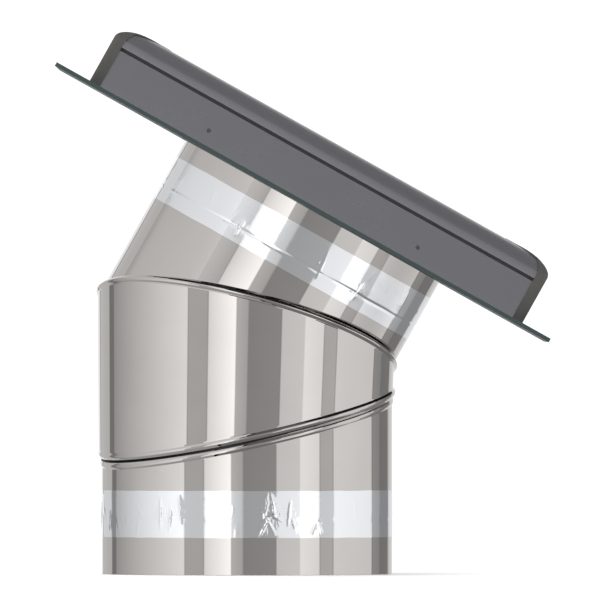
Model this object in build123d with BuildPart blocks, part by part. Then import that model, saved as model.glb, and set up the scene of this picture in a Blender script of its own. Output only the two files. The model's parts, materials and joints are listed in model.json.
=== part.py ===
from build123d import *
import os
from math import cos, radians, sin, tan

os.makedirs("parts", exist_ok=True)

# Light tube, millimetres
tube_diameter = 355.6
sheet = 0.5
outlet_length = 65.1
crimp_run = 4.0
spigot_length = 30.0
slip_gap = 0.15

# Foil tape
tape_width = 57.0
tape_below_joint = 19.8
tape_thickness = 0.3
tape_gap = 0.1
tape_to_flange = 23.0

# Elbow: angles in degrees, heights measured along each swivel's own axis
roof_pitch = 29.25
swivel_lean = 12.28
lower_cut = 13.28
lower_cut_direction = 205.07
gore_throat = 12.5
collar_clear = 12.0
swivel_gap = 0.35
bead_half = 4.0
bead_foot = 5.5
bead_round = 2.0
bead_step = 4.0
upper_crown = 2.8
lower_crown = 1.6
upper_neck = 6.5
upper_blend = 10.5
rib_gap = 2.5
rib_half = 3.9
rib_crown = 2.6
lower_neck = 15.5
lower_blend = 28.0

# Roof flange
flange_margin = 44.0
flange_thickness = 5.0
flange_shift = -15.1
flange_corner = 12.0
fixing_inset = 18.0
fixing_radius = 3.25
tube_seal_width = 4.0
tube_seal_gap = 0.3
tube_seal_lap = 0.5

# Kerb: base rails, side covers and top covers, sizes measured in from the rails' outer
# face and up from the flange
frame_size = 597.0
frame_shift = -11.9
frame_corner = 3.0
rail_width = 58.0
seat_height = 45.6
rail_wall = 1.6
web_inset = 28.0
upstand_inset = 5.5
upstand_wall = 2.0
upstand_rise = 14.0
barb = 1.1
barb_drop = 4.5
barb_step = 1.0
barb_lead = 0.7
side_cover_wall = 1.2
side_cover_rise = 4.4
groove = 4.0
groove_depth = 4.5
shoulder_rise = 19.0
crest_inset = 48.0
nose_inset = 60.5
nose_width = 9.0
nose_height = 5.0
nose_round = 2.0
cover_wall = 2.0
clip_gap = 0.4
clip_wall = 1.5
clip_lift = 7.0
kerb_seal_width = 20.0
kerb_seal_height = 2.0
kerb_seal_inset = 35.0
kerb_seal_step = 32.0

# Corner caps and cleats
cap_gap = 0.3
cap_wall = 1.5
cap_leg = 14.0
cap_bend = 16.0
cap_tip = 4.0
cap_corner = 5.0
cleat_gap = 0.2
cleat_leg = 55.0
cleat_wall = 4.0

# Glass unit, insets measured in from the panes' edge
pane_inset = 40.0
pane_corner = 2.0
inner_pane_thickness = 4.0
outer_pane_thickness = 5.0
spacer_height = 14.0
spacer_width = 10.0
spacer_inset = 6.0
spacer_wall = 1.0
sealant_inset = 0.5
seat_gasket_height = 3.0
seat_gasket_width = 12.0
seat_gasket_inset = 5.0
cover_gasket_height = 3.0

# Reflector plate and the tube's collar
reflector_thickness = 1.0
reflector_gap = 0.5
reflector_hem = 12.0
collar_width = 15.0
collar_round = 1.5

# Screws
cladding_screw_spacing = 290.0
cladding_screw_height = 18.0
cladding_screw_radius = 1.45
cladding_head_radius = 2.6
cladding_head_top = 1.8
cladding_head_height = 1.3
cladding_screw_length = 9.0
flange_screw_spacing = 200.0
flange_screw_inset = 15.0
flange_screw_radius = 2.1
flange_head_radius = 4.2
flange_screw_length = 16.0
collar_screw_count = 8
collar_screw_outset = 10.0
collar_screw_bite = 4.0
collar_screw_radius = 1.75
collar_head_radius = 3.5
collar_head_height = 2.0
screw_gap = 0.1

tube_radius = tube_diameter / 2
bore_radius = tube_radius - sheet
sheet_middle = sheet / 2

# Axes: the lower tube stands on the origin, the head leans over by the roof's pitch
up = Vector(sin(radians(roof_pitch)), 0, cos(radians(roof_pitch)))
downhill = Vector(cos(radians(roof_pitch)), 0, -sin(radians(roof_pitch)))
across = Vector(0, 1, 0)
vertical = Vector(0, 0, 1)

lower_axis = Vector(
    sin(radians(lower_cut)) * cos(radians(lower_cut_direction)),
    sin(radians(lower_cut)) * sin(radians(lower_cut_direction)),
    cos(radians(lower_cut)),
)
# The upper swivel stands at the same angle to the tube below it and to the tube above
half_bend = Vector(sin(radians(roof_pitch / 2)), 0, cos(radians(roof_pitch / 2)))
upper_axis = half_bend * cos(radians(swivel_lean)) + across * sin(radians(swivel_lean))
upper_cut_cos = upper_axis.dot(up)
upper_cut_tan = (1 - upper_cut_cos**2) ** 0.5 / upper_cut_cos

# Heights of the two swivels
lower_joint = outlet_length + crimp_run
lower_tape_foot = outlet_length - tape_below_joint
lower_swivel = (
    lower_tape_foot
    + tape_width
    + collar_clear
    + tube_radius * tan(radians(lower_cut))
    + lower_blend / cos(radians(lower_cut))
)
slope_between = Vector(
    upper_axis.X / upper_axis.Z - lower_axis.X / lower_axis.Z,
    upper_axis.Y / upper_axis.Z - lower_axis.Y / lower_axis.Z,
    0,
)
upper_swivel = lower_swivel + gore_throat + slope_between.length * tube_radius
lower_centre = vertical * lower_swivel
upper_centre = vertical * upper_swivel

# Distance along the head's axis from the upper swivel to the flange's underside
head_height = (
    upper_blend / upper_cut_cos
    + tube_radius * upper_cut_tan
    + collar_clear
    + tape_width
    + tape_to_flange
)
upper_tape_foot = head_height - tape_to_flange - tape_width
upper_joint = upper_tape_foot + tape_below_joint

head = Plane(upper_centre, x_dir=downhill, z_dir=up)
deck = head.offset(head_height)
flange_under = Plane(deck.from_local_coords((flange_shift, 0, 0)), x_dir=downhill, z_dir=up)
tube_top = deck.offset(flange_thickness)
kerb = Plane(tube_top.from_local_coords((frame_shift, 0, 0)), x_dir=downhill, z_dir=up)

half_frame = frame_size / 2
flange_size = frame_size + 2 * flange_margin
fixing_spread = flange_size - 2 * fixing_inset
sides = ["front", "lower", "back", "upper"]
corners = ["upper_front", "lower_front", "lower_back", "upper_back"]


def kerb_turned(quarter):
    """The kerb's plane turned so that this side is at -Y and this corner at -X, -Y"""
    turn = radians(90 * quarter)
    along = kerb.x_dir * cos(turn) + kerb.y_dir * sin(turn)
    return Plane(kerb.origin, x_dir=along, z_dir=up)


def rail_section(quarter):
    """The plane of a rail's section: X inwards from its outer face, Y up"""
    turned = kerb_turned(quarter)
    face = turned.from_local_coords((0, -half_frame, 0))
    return Plane(face, x_dir=turned.y_dir, z_dir=turned.x_dir)


def mitre(section, end):
    """The mitre plane at one end of a rail, facing the rail"""
    corner = section.from_local_coords((0, 0, end * half_frame))
    return Plane(corner, z_dir=-(section.x_dir + section.z_dir * end))

# Heights above the flange, built up from the rails' seat
inner_pane_foot = seat_height + seat_gasket_height
spacer_foot = inner_pane_foot + inner_pane_thickness
outer_pane_foot = spacer_foot + spacer_height
glass_top = outer_pane_foot + outer_pane_thickness
nose_foot = glass_top + cover_gasket_height
crest_height = nose_foot + nose_height
upstand_height = seat_height + upstand_rise
side_cover_height = seat_height + side_cover_rise
shoulder_height = seat_height + shoulder_rise
crest_rise = crest_height - shoulder_height
shelf_height = side_cover_height - side_cover_wall
cover_foot = side_cover_height + groove
pane_size = frame_size - 2 * pane_inset


def square_ring(plane, outer, width, height, corner):
    """A square ring on a plane, its corners rounded outside"""
    with BuildPart() as ring:
        with BuildSketch(plane):
            RectangleRounded(outer, outer, corner)
            Rectangle(outer - 2 * width, outer - 2 * width, mode=Mode.SUBTRACT)
        extrude(amount=height)
    return ring


# Lower tube: plain and open below, drawn in above to slip into the elbow's collar
spigot_radius = bore_radius - slip_gap

with BuildPart() as lower_tube:
    with BuildSketch(Plane.XZ):
        with BuildLine():
            Polyline(
                (bore_radius, 0),
                (tube_radius, 0),
                (tube_radius, outlet_length),
                (spigot_radius, lower_joint),
                (spigot_radius, outlet_length + spigot_length),
                (spigot_radius - sheet, outlet_length + spigot_length),
                (spigot_radius - sheet, lower_joint),
                (bore_radius, outlet_length),
                close=True,
            )
        make_face()
    revolve(axis=Axis.Z)

lower_tube.part.label = "lower_tube"
export_step(lower_tube.part, "parts/lower_tube.step")


# Foil tape: a sleeve over the joint of two tubes
def tape_sleeve(plane):
    inside = tube_radius + tape_gap
    with BuildPart() as sleeve:
        with BuildSketch(plane):
            Circle(inside + tape_thickness)
            Circle(inside, mode=Mode.SUBTRACT)
        extrude(amount=tape_width)
    return sleeve


lower_foil_tape = tape_sleeve(Plane.XY.offset(lower_tape_foot))
lower_foil_tape.part.label = "lower_foil_tape"
export_step(lower_foil_tape.part, "parts/lower_foil_tape.step")

upper_foil_tape = tape_sleeve(head.offset(upper_tape_foot))
upper_foil_tape.part.label = "upper_foil_tape"
export_step(upper_foil_tape.part, "parts/upper_foil_tape.step")


# Swivel beads: the socket's sheet closes over the spigot's flange, so the gores turn in
# each other but don't part. Paths run in the middle of the sheet, X out from the swivel's
# axis and Y towards the spigot's gore
nest = sheet + swivel_gap
bead_lip = bead_half - sheet_middle


def socket_path(neck, crown):
    wall = neck + bead_step - sheet_middle
    flat = bead_half - crown
    return [
        (wall, -bead_foot),
        (wall, -bead_half),
        (wall + crown, -flat),
        (wall + crown, flat),
        (wall + crown + flat - bead_lip, bead_lip),
        (neck + swivel_gap, bead_lip),
    ]


def spigot_path(neck, crown):
    outside = neck + bead_step - sheet_middle + crown - nest
    top = bead_lip - nest
    flat = bead_half - crown - nest * tan(radians(22.5))
    return [
        (outside - crown / 2, -flat - crown / 2),
        (outside, -flat),
        (outside, flat),
        (outside + flat - top, top),
        (neck - sheet_middle, top),
    ]


def rib_path(neck):
    """The stiffening rib under the lower swivel, which leaves a dark groove at the lip"""
    inside = neck - sheet_middle
    middle = bead_half + rib_gap + rib_half
    flat = rib_half - rib_crown
    return [
        (inside, middle - rib_half),
        (inside + rib_crown, middle - flat),
        (inside + rib_crown, middle + flat),
        (inside, middle + rib_half),
        (inside, lower_neck),
    ]


def bead_plane(centre, axis, shared):
    """The plane of a bead's section: X out from the swivel's axis, Y along it"""
    return Plane(centre, x_dir=shared, z_dir=shared.cross(axis))


def swivel_neck(tube_axis, axis):
    """The circle as long as the oblique section of the tube"""
    return tube_radius * (1 + 1 / axis.dot(tube_axis)) / 2


def collar_gore(centre, axis, tube_axis, heights, path):
    """A tube cut obliquely, its end drawn to a circle and flanged for the swivel"""
    neck_height, blend_height, collar_end = heights
    cut_cos = axis.dot(tube_axis)
    neck = swivel_neck(tube_axis, axis)
    shared = axis.cross(tube_axis).normalized()
    across_tube = Plane(centre, x_dir=shared, z_dir=tube_axis)
    foot = Plane(centre, x_dir=shared, z_dir=axis).offset(neck_height)
    cut = Plane(centre + tube_axis * (blend_height / cut_cos), x_dir=shared, z_dir=axis)
    with BuildPart() as gore:
        with BuildSketch(across_tube.offset(-tube_radius)):
            Circle(tube_radius)
            Circle(bore_radius, mode=Mode.SUBTRACT)
        extrude(amount=tube_radius + collar_end)
        split(bisect_by=cut, keep=Keep.TOP)
        with BuildSketch(foot):
            Circle(neck)
        with BuildSketch(cut):
            Ellipse(tube_radius, tube_radius / cut_cos)
        loft(ruled=True)
        with BuildSketch(foot):
            Circle(neck - sheet)
        with BuildSketch(cut):
            Ellipse(bore_radius, bore_radius / cut_cos)
        loft(ruled=True, mode=Mode.SUBTRACT)
        with BuildSketch(bead_plane(centre, axis, shared)):
            with BuildLine():
                Polyline(*path)
            trace(line_width=sheet)
        revolve(axis=Axis(centre, axis))
    return gore


upper_neck_radius = swivel_neck(up, upper_axis)
lower_neck_radius = swivel_neck(vertical, lower_axis)

# Elbow's upper gore: swivel flange below, spigot into the top tube above
upper_gore = collar_gore(
    upper_centre,
    upper_axis,
    up,
    (upper_neck, upper_blend, upper_joint - crimp_run),
    spigot_path(upper_neck_radius, upper_crown) + [(upper_neck_radius - sheet_middle, upper_neck)],
)
with BuildPart() as elbow_upper_gore:
    add(upper_gore.part)
    with BuildSketch(Plane(upper_centre, x_dir=downhill, z_dir=-across)):
        with BuildLine():
            Polyline(
                (bore_radius, upper_joint - crimp_run),
                (tube_radius, upper_joint - crimp_run),
                (spigot_radius, upper_joint),
                (spigot_radius, upper_joint + spigot_length),
                (spigot_radius - sheet, upper_joint + spigot_length),
                (spigot_radius - sheet, upper_joint),
                close=True,
            )
        make_face()
    revolve(axis=Axis(upper_centre, up))

elbow_upper_gore.part.label = "elbow_upper_gore"
export_step(elbow_upper_gore.part, "parts/elbow_upper_gore.step")

# Elbow's lower gore: swivel flange and rib above, collar over the lower tube below
elbow_lower_gore = collar_gore(
    lower_centre,
    -lower_axis,
    -vertical,
    (lower_neck, lower_blend, lower_swivel - lower_joint),
    spigot_path(lower_neck_radius, lower_crown) + rib_path(lower_neck_radius),
)
elbow_lower_gore.part.label = "elbow_lower_gore"
export_step(elbow_lower_gore.part, "parts/elbow_lower_gore.step")

# Elbow's middle gore: a bead at each end that closes over its neighbour's flange
between = upper_axis.cross(lower_axis).normalized()
gore_top = Plane(upper_centre - upper_axis * bead_foot, x_dir=between, z_dir=upper_axis)
gore_foot = Plane(lower_centre + lower_axis * bead_foot, x_dir=between, z_dir=lower_axis)
upper_wall_radius = upper_neck_radius + bead_step
lower_wall_radius = lower_neck_radius + bead_step

with BuildPart() as elbow_middle_gore:
    with BuildSketch(gore_foot):
        Circle(lower_wall_radius)
    with BuildSketch(gore_top):
        Circle(upper_wall_radius)
    loft(ruled=True)
    with BuildSketch(gore_foot):
        Circle(lower_wall_radius - sheet)
    with BuildSketch(gore_top):
        Circle(upper_wall_radius - sheet)
    loft(ruled=True, mode=Mode.SUBTRACT)
    for centre, axis, neck, crown in (
        (upper_centre, upper_axis, upper_neck_radius, upper_crown),
        (lower_centre, -lower_axis, lower_neck_radius, lower_crown),
    ):
        with BuildSketch(bead_plane(centre, axis, between)):
            with BuildLine():
                FilletPolyline(
                    socket_path(neck, crown), radius=[0, bead_round, bead_round, 0]
                )
            trace(line_width=sheet)
        revolve(axis=Axis(centre, axis))

elbow_middle_gore.part.label = "elbow_middle_gore"
export_step(elbow_middle_gore.part, "parts/elbow_middle_gore.step")

# Height of the collar's underside above the upper swivel
collar_height = head_height + flange_thickness + reflector_thickness

# Screws: one function a set, which gives the screws themselves and, with a gap, their holes
above = (Align.CENTER, Align.CENTER, Align.MIN)
below = (Align.CENTER, Align.CENTER, Align.MAX)


def collar_screw_set(gap):
    with BuildPart() as screws:
        with Locations(Plane(upper_centre, z_dir=up).offset(collar_height + sheet)):
            with PolarLocations(tube_radius + collar_screw_outset, collar_screw_count):
                Cylinder(collar_head_radius, collar_head_height, align=above)
                Cylinder(
                    collar_screw_radius + gap,
                    sheet + reflector_thickness + collar_screw_bite + gap,
                    align=below,
                )
    return screws


def flange_screw_set(gap):
    """Countersunk from the flange's underside up into the base rails"""
    with BuildPart() as screws:
        for quarter in range(4):
            turned = kerb_turned(quarter)
            line = turned.from_local_coords(
                (0, flange_screw_inset - half_frame, -flange_thickness)
            )
            with Locations(Plane(line, x_dir=turned.x_dir, z_dir=up)):
                with GridLocations(flange_screw_spacing, 1, 3, 1):
                    Cone(
                        flange_head_radius + gap,
                        flange_screw_radius + gap,
                        flange_head_radius - flange_screw_radius,
                        align=above,
                    )
                    Cylinder(flange_screw_radius + gap, flange_screw_length + gap, align=above)
    return screws


def cladding_screw_set(gap):
    """Through the side covers into the base rails"""
    with BuildPart() as screws:
        for quarter in range(4):
            turned = kerb_turned(quarter)
            line = turned.from_local_coords((0, -half_frame, cladding_screw_height))
            with Locations(Plane(line, x_dir=turned.x_dir, z_dir=-turned.y_dir)):
                with GridLocations(cladding_screw_spacing, 1, 2, 1):
                    Cone(
                        cladding_head_radius,
                        cladding_head_top,
                        cladding_head_height,
                        align=above,
                    )
                    Cylinder(
                        cladding_screw_radius + gap, cladding_screw_length + gap, align=below
                    )
    return screws


collar_screws = collar_screw_set(0)
collar_screws.part.label = "collar_screws"
export_step(collar_screws.part, "parts/collar_screws.step")

flange_screws = flange_screw_set(0)
flange_screws.part.label = "flange_screws"
export_step(flange_screws.part, "parts/flange_screws.step")

cladding_screws = cladding_screw_set(0)
cladding_screws.part.label = "cladding_screws"
export_step(cladding_screws.part, "parts/cladding_screws.step")

collar_screw_holes = collar_screw_set(screw_gap)
flange_screw_holes = flange_screw_set(screw_gap)
cladding_screw_holes = cladding_screw_set(screw_gap)

# Top tube: hangs by its turned-out collar, which is drilled for the collar screws
with BuildPart() as top_tube:
    with BuildSketch(Plane(upper_centre, x_dir=downhill, z_dir=-across)):
        with BuildLine():
            FilletPolyline(
                (tube_radius - sheet_middle, upper_joint),
                (tube_radius - sheet_middle, collar_height + sheet_middle),
                (tube_radius + collar_width, collar_height + sheet_middle),
                radius=collar_round,
            )
        trace(line_width=sheet)
    revolve(axis=Axis(upper_centre, up))
    add(collar_screw_holes.part, mode=Mode.SUBTRACT)

top_tube.part.label = "top_tube"
export_step(top_tube.part, "parts/top_tube.step")

# Roof flange: lies on the roof, holds the tube in a foam seal
with BuildPart() as roof_flange:
    with BuildSketch(flange_under):
        RectangleRounded(flange_size, flange_size, flange_corner)
        with Locations((-flange_shift, 0)):
            Circle(tube_radius + tube_seal_width, mode=Mode.SUBTRACT)
        with GridLocations(fixing_spread, fixing_spread, 2, 2):
            Circle(fixing_radius, mode=Mode.SUBTRACT)
        with PolarLocations(fixing_spread / 2, 4):
            Circle(fixing_radius, mode=Mode.SUBTRACT)
    extrude(amount=flange_thickness)
    add(flange_screw_holes.part, mode=Mode.SUBTRACT)
    add(collar_screw_holes.part, mode=Mode.SUBTRACT)

roof_flange.part.label = "roof_flange"
export_step(roof_flange.part, "parts/roof_flange.step")

with BuildPart() as tube_seal:
    with BuildSketch(deck.offset(-tube_seal_lap)):
        Circle(tube_radius + tube_seal_width)
        Circle(tube_radius + tube_seal_gap, mode=Mode.SUBTRACT)
    extrude(amount=flange_thickness + tube_seal_lap)

tube_seal.part.label = "tube_seal"
export_step(tube_seal.part, "parts/tube_seal.step")

# Reflector plate: a tray that closes the well between tube and rails
plate_size = frame_size - 2 * (rail_width + reflector_gap)

with BuildPart() as reflector_plate:
    with BuildSketch(kerb):
        Rectangle(plate_size, plate_size)
    extrude(amount=reflector_hem)
    with BuildSketch(kerb.offset(reflector_thickness)):
        Rectangle(plate_size - 2 * reflector_thickness, plate_size - 2 * reflector_thickness)
    extrude(amount=reflector_hem, mode=Mode.SUBTRACT)
    with BuildSketch(kerb):
        with Locations((-frame_shift, 0)):
            Circle(tube_radius + collar_round + reflector_gap)
    extrude(amount=reflector_hem, mode=Mode.SUBTRACT)
    add(collar_screw_holes.part, mode=Mode.SUBTRACT)

reflector_plate.part.label = "reflector_plate"
export_step(reflector_plate.part, "parts/reflector_plate.step")

kerb_seal = square_ring(
    kerb, frame_size - 2 * kerb_seal_inset, kerb_seal_width, kerb_seal_height, pane_corner
)
kerb_seal.part.label = "kerb_seal"
export_step(kerb_seal.part, "parts/kerb_seal.step")


# What the rounded corners take off the mitred profiles
with BuildPart() as corner_offcuts:
    with BuildSketch(kerb):
        Rectangle(frame_size + frame_corner, frame_size + frame_corner)
        RectangleRounded(frame_size, frame_size, frame_corner, mode=Mode.SUBTRACT)
    extrude(amount=crest_height)


# Profiles of the kerb's four sides
def mitred_run(quarter, outline, chambers=()):
    """A profile run along one side and mitred at both ends"""
    section = rail_section(quarter)
    with BuildPart() as run:
        with BuildSketch(section):
            with BuildLine():
                Polyline(*outline, close=True)
            make_face()
            for start, end in chambers:
                with BuildLine():
                    Polyline(start, (end[0], start[1]), end, (start[0], end[1]), close=True)
                make_face(mode=Mode.SUBTRACT)
        extrude(amount=half_frame, both=True)
        for end in (-1, 1):
            split(bisect_by=mitre(section, end))
        add(corner_offcuts.part, mode=Mode.SUBTRACT)
    return run


upstand_inner = upstand_inset + upstand_wall
barb_foot = upstand_height - barb_drop
rail_outline = [
    (side_cover_wall, 0),
    (kerb_seal_step, 0),
    (kerb_seal_step, kerb_seal_height),
    (rail_width, kerb_seal_height),
    (rail_width, seat_height),
    (upstand_inner, seat_height),
    (upstand_inner, barb_foot),
    (upstand_inner + barb, barb_foot),
    (upstand_inner + barb, barb_foot + barb_step),
    (upstand_inner - barb_lead, upstand_height),
    (upstand_inset, upstand_height),
    (upstand_inset, shelf_height),
    (side_cover_wall, shelf_height),
]
outer_chamber = (
    (side_cover_wall + rail_wall, rail_wall),
    (web_inset, seat_height - rail_wall),
)
inner_chamber = (
    (web_inset + rail_wall, kerb_seal_height + rail_wall),
    (rail_width - rail_wall, seat_height - rail_wall),
)
side_cover_outline = [
    (0, 0),
    (side_cover_wall, 0),
    (side_cover_wall, shelf_height),
    (upstand_inset, shelf_height),
    (upstand_inset, side_cover_height),
    (0, side_cover_height),
]

for quarter, side in enumerate(sides):
    run = mitred_run(quarter, rail_outline, (outer_chamber, inner_chamber))
    with BuildPart() as base_rail:
        add(run.part)
        add(flange_screw_holes.part, mode=Mode.SUBTRACT)
        add(cladding_screw_holes.part, mode=Mode.SUBTRACT)
    base_rail.part.label = f"{side}_base_rail"
    export_step(base_rail.part, f"parts/{side}_base_rail.step")

    run = mitred_run(quarter, side_cover_outline)
    with BuildPart() as side_cover:
        add(run.part)
        add(cladding_screw_holes.part, mode=Mode.SUBTRACT)
    side_cover.part.label = f"{side}_side_cover"
    export_step(side_cover.part, f"parts/{side}_side_cover.step")

# Top covers: a bullnose with a lip over the groove, a nose on the glass and a clip leg
clip_inset = upstand_inner + barb + clip_gap
clip_top = barb_foot - clip_gap
clip_root = clip_inset + clip_wall
clip_foot = seat_height + clip_lift
clip_reach = (crest_inset - clip_inset) / (crest_inset - cover_wall / 2)
clip_bury = shoulder_height + (crest_rise - cover_wall / 2) * (1 - clip_reach**2) ** 0.5
nose_foot_inset = nose_inset - nose_width


def bullnose(wall):
    """The curve of the top cover from shoulder to crest, one wall's depth under its face"""
    return EllipticalCenterArc(
        (crest_inset, shoulder_height), crest_inset - wall, crest_rise - wall, 90, arc_size=90
    )


for quarter, side in enumerate(sides):
    section = rail_section(quarter)
    with BuildPart() as top_cover:
        with BuildSketch(section):
            with BuildLine():
                bullnose(0)
                bullnose(cover_wall)
                Polyline(
                    (0, shoulder_height),
                    (0, cover_foot),
                    (groove_depth, cover_foot),
                    (groove_depth, cover_foot + cover_wall),
                    (cover_wall, cover_foot + cover_wall),
                    (cover_wall, shoulder_height),
                )
                Polyline(
                    (crest_inset, crest_height),
                    (nose_inset - nose_round, crest_height),
                    (nose_inset, crest_height - nose_round),
                    (nose_inset, nose_foot),
                    (nose_foot_inset, nose_foot),
                    (nose_foot_inset, crest_height - cover_wall),
                    (crest_inset, crest_height - cover_wall),
                )
            make_face()
        extrude(amount=half_frame, both=True)
        with BuildSketch(section):
            with BuildLine():
                Polyline(
                    (clip_inset, clip_bury),
                    (clip_inset, clip_top),
                    (clip_inset - barb, clip_top),
                    (clip_inset - barb, clip_top - clip_wall / 2),
                    (clip_inset, clip_foot),
                    (clip_root, clip_foot),
                    (clip_root, clip_bury),
                    close=True,
                )
            make_face()
        extrude(amount=half_frame, both=True)
        for end in (-1, 1):
            split(bisect_by=mitre(section, end))
        add(corner_offcuts.part, mode=Mode.SUBTRACT)
    top_cover.part.label = f"{side}_top_cover"
    export_step(top_cover.part, f"parts/{side}_top_cover.step")


# Corner caps: thin shells over the mitres, from the flange over the crest to the glass
def kerb_form(grow, corner):
    """The whole kerb as one solid, its four upper edges cut to the bullnose"""
    size = frame_size + 2 * grow
    top = crest_height + grow
    with BuildPart() as form:
        with BuildSketch(kerb):
            RectangleRounded(size, size, corner)
        extrude(amount=top)
        for quarter in range(4):
            with BuildSketch(rail_section(quarter)):
                with BuildLine():
                    EllipticalCenterArc(
                        (crest_inset, shoulder_height),
                        crest_inset + grow,
                        crest_rise + grow,
                        90,
                        arc_size=90,
                    )
                    Polyline(
                        (crest_inset, top),
                        (crest_inset, top + cap_wall),
                        (-grow - cap_wall, top + cap_wall),
                        (-grow - cap_wall, shoulder_height),
                        (-grow, shoulder_height),
                    )
                make_face()
            extrude(amount=size, both=True, mode=Mode.SUBTRACT)
    return form


cap_outer = kerb_form(cap_gap + cap_wall, cap_corner)
cap_inner = kerb_form(cap_gap, frame_corner + cap_gap)
well_half = half_frame - nose_inset - cap_gap

with BuildPart() as cap_space:
    add(cap_inner.part)
    with BuildSketch(kerb.offset(glass_top + cap_gap)):
        Rectangle(2 * well_half, 2 * well_half)
    extrude(amount=crest_height, mode=Mode.SUBTRACT)

for quarter, corner in enumerate(corners):
    outer = half_frame + cap_gap + 2 * cap_wall
    inner = well_half - cap_wall
    bend = cap_bend - half_frame
    with BuildPart() as corner_cap:
        add(cap_outer.part)
        add(cap_space.part, mode=Mode.SUBTRACT)
        with BuildSketch(kerb_turned(quarter)):
            Rectangle(2 * outer, 2 * outer)
            with BuildLine():
                Polyline(
                    (-outer, -outer),
                    (-outer + cap_leg, -outer),
                    (-half_frame + cap_leg, -half_frame),
                    (bend + cap_tip, bend),
                    (-inner + cap_tip, -inner),
                    (-inner, -inner),
                    (-inner, -inner + cap_tip),
                    (bend, bend + cap_tip),
                    (-half_frame, -half_frame + cap_leg),
                    (-outer, -outer + cap_leg),
                    close=True,
                )
            make_face(mode=Mode.SUBTRACT)
        extrude(amount=crest_height + outer, mode=Mode.SUBTRACT)
    corner_cap.part.label = f"{corner}_corner_cap"
    export_step(corner_cap.part, f"parts/{corner}_corner_cap.step")

# Corner cleats: hollow angles in the rails' inner chambers
cleat_outer = web_inset + rail_wall + cleat_gap - half_frame
cleat_inner = rail_width - rail_wall - cleat_gap - half_frame
cleat_floor = kerb_seal_height + rail_wall + cleat_gap
cleat_height = seat_height - rail_wall - cleat_gap - cleat_floor


def cleat_outline(inset):
    outer = cleat_outer + inset
    inner = cleat_inner - inset
    end = cleat_outer + cleat_leg - inset
    return [(outer, outer), (end, outer), (end, inner), (inner, inner), (inner, end), (outer, end)]


for quarter, corner in enumerate(corners):
    with BuildPart() as corner_cleat:
        with BuildSketch(kerb_turned(quarter).offset(cleat_floor)):
            with BuildLine():
                Polyline(*cleat_outline(0), close=True)
            make_face()
            with BuildLine():
                Polyline(*cleat_outline(cleat_wall), close=True)
            make_face(mode=Mode.SUBTRACT)
        extrude(amount=cleat_height)
    corner_cleat.part.label = f"{corner}_corner_cleat"
    export_step(corner_cleat.part, f"parts/{corner}_corner_cleat.step")


# Glass unit and its gaskets
def pane(foot, thickness):
    with BuildPart() as plate:
        with BuildSketch(kerb.offset(foot)):
            RectangleRounded(pane_size, pane_size, pane_corner)
        extrude(amount=thickness)
    return plate


inner_pane = pane(inner_pane_foot, inner_pane_thickness)
inner_pane.part.label = "inner_pane"
export_step(inner_pane.part, "parts/inner_pane.step")

outer_pane = pane(outer_pane_foot, outer_pane_thickness)
outer_pane.part.label = "outer_pane"
export_step(outer_pane.part, "parts/outer_pane.step")

edge_sealant = square_ring(
    kerb.offset(spacer_foot),
    pane_size - 2 * sealant_inset,
    spacer_inset - sealant_inset,
    spacer_height,
    pane_corner,
)
edge_sealant.part.label = "edge_sealant"
export_step(edge_sealant.part, "parts/edge_sealant.step")

with BuildPart() as spacer_bar:
    for outset, mode in ((0, Mode.ADD), (spacer_wall, Mode.SUBTRACT)):
        outer = pane_size - 2 * (spacer_inset + outset)
        inner = pane_size - 2 * (spacer_inset + spacer_width - outset)
        with BuildSketch(kerb.offset(spacer_foot + outset)):
            Rectangle(outer, outer)
            Rectangle(inner, inner, mode=Mode.SUBTRACT)
        extrude(amount=spacer_height - 2 * outset, mode=mode)

spacer_bar.part.label = "spacer_bar"
export_step(spacer_bar.part, "parts/spacer_bar.step")

seat_gasket = square_ring(
    kerb.offset(seat_height),
    pane_size - 2 * seat_gasket_inset,
    seat_gasket_width,
    seat_gasket_height,
    pane_corner,
)
seat_gasket.part.label = "seat_gasket"
export_step(seat_gasket.part, "parts/seat_gasket.step")

cover_gasket = square_ring(
    kerb.offset(glass_top),
    frame_size - 2 * nose_foot_inset,
    nose_width,
    cover_gasket_height,
    pane_corner,
)
cover_gasket.part.label = "cover_gasket"
export_step(cover_gasket.part, "parts/cover_gasket.step")
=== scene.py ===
import json
from math import cos, exp, pi, radians, sin, sqrt, tan
from random import Random

import bpy
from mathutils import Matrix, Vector, noise


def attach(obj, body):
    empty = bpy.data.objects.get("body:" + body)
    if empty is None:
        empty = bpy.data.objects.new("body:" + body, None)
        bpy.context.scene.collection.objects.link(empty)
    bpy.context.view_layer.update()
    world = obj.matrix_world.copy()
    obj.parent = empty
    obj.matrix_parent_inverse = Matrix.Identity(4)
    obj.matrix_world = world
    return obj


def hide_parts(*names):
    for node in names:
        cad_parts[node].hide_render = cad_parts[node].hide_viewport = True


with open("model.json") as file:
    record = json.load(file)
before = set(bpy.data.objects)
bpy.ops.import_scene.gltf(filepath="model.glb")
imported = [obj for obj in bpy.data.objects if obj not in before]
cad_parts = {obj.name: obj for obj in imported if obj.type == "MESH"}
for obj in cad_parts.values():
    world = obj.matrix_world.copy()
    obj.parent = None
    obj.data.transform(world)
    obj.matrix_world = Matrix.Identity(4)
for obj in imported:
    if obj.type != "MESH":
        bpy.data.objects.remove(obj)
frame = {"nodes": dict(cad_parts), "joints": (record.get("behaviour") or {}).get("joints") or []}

print("frame loaded")
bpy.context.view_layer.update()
mm = 0.001  # pieces are worked out in millimetres and placed in metres
scene = bpy.context.scene


def fromHex(text):  # sRGB hex to the linear colour that shaders work in
    parts = [int(text[i:i + 2], 16) / 255 for i in (1, 3, 5)]
    return [c / 12.92 if c <= 0.04045 else ((c + 0.055) / 1.055) ** 2.4 for c in parts] + [1.0]


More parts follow.
